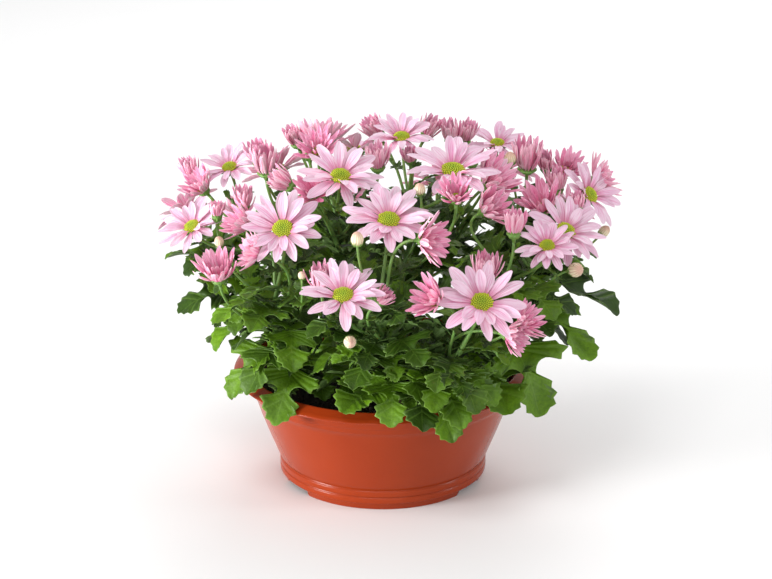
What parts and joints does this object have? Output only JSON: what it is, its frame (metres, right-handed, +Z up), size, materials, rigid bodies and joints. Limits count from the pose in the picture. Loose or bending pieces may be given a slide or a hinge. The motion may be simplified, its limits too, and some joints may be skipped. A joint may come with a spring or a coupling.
{
  "type": "potted daisy chrysanthemum",
  "caption": "Bushy flowering pot plant with pale pink daisy blooms, half-open heads, buds and lobed leaves, rooted in soil in a round flaring plastic bowl.",
  "frame": {"origin": "centre of the bowl's resting plane, under the middle of the plant", "axes": "+Z up along the bowl's axis, +X to the right, the pictured side towards -Y"},
  "size_m": [0.3621, 0.3373, 0.2808],
  "materials": {
    "terracotta_plastic": "satin moulded plastic, terracotta brown",
    "potting_soil": "dark crumbly potting mix",
    "leaf_and_stem": "living leaf, mid green above, paler stems",
    "petal": "living petal, pale pink, deeper at the base and underneath",
    "disc_floret": "tight yellow-green florets"
  },
  "bodies": {
    "root": {"bowl": "terracotta_plastic", "soil": "potting_soil", "petals_front_left_2": "petal", "petals_front_left_1": "petal", "petals_front_left_4": "petal", "petals_left_1": "petal", "petals_left_2": "petal", "petals_left_4": "petal", "petals_left_5": "petal", "petals_left_6": "petal", "petals_front_3": "petal", "petals_front_2": "petal", "petals_front_right_1": "petal", "petals_front_right_4": "petal", "petals_right_front_4": "petal", "petals_right_front_6": "petal", "petals_right_front_1": "petal", "petals_right_1": "petal", "petals_right_6": "petal", "petals_right_7": "petal", "petals_right_8": "petal", "petals_front_1": "petal", "petals_centre_left_2": "petal", "petals_centre_left_3": "petal", "petals_centre_left_4": "petal", "petals_centre_left_5": "petal", "petals_centre_left_6": "petal", "petals_centre_left_7": "petal", "petals_centre_left_8": "petal", "petals_centre_right_3": "petal", "petals_centre_right_1": "petal", "petals_centre_right_2": "petal", "petals_centre_right_7": "petal", "petals_back_right_2": "petal", "petals_back_right_3": "petal", "petals_back_right_4": "petal", "petals_back_right_5": "petal", "petals_back_right_1": "petal", "petals_back_left_1": "petal", "petals_back_left_2": "petal", "petals_back_left_3": "petal", "petals_back_left_4": "petal", "petals_back_left_5": "petal", "petals_back_left_6": "petal", "petals_back_left_7": "petal", "disc_front_left_1": "disc_floret", "disc_left_1": "disc_floret", "disc_front_1": "disc_floret", "disc_front_2": "disc_floret", "disc_front_right_1": "disc_floret", "disc_right_front_1": "disc_floret", "disc_right_front_2": "disc_floret", "disc_centre_left_1": "disc_floret", "disc_centre_right_1": "disc_floret", "disc_centre_right_2": "disc_floret", "leafy_stem_left": "leaf_and_stem", "leafy_stem_front": "leaf_and_stem", "leafy_stem_right": "leaf_and_stem", "leafy_stem_centre": "leaf_and_stem", "leafy_stem_back": "leaf_and_stem"}
  },
  "joints": []
}
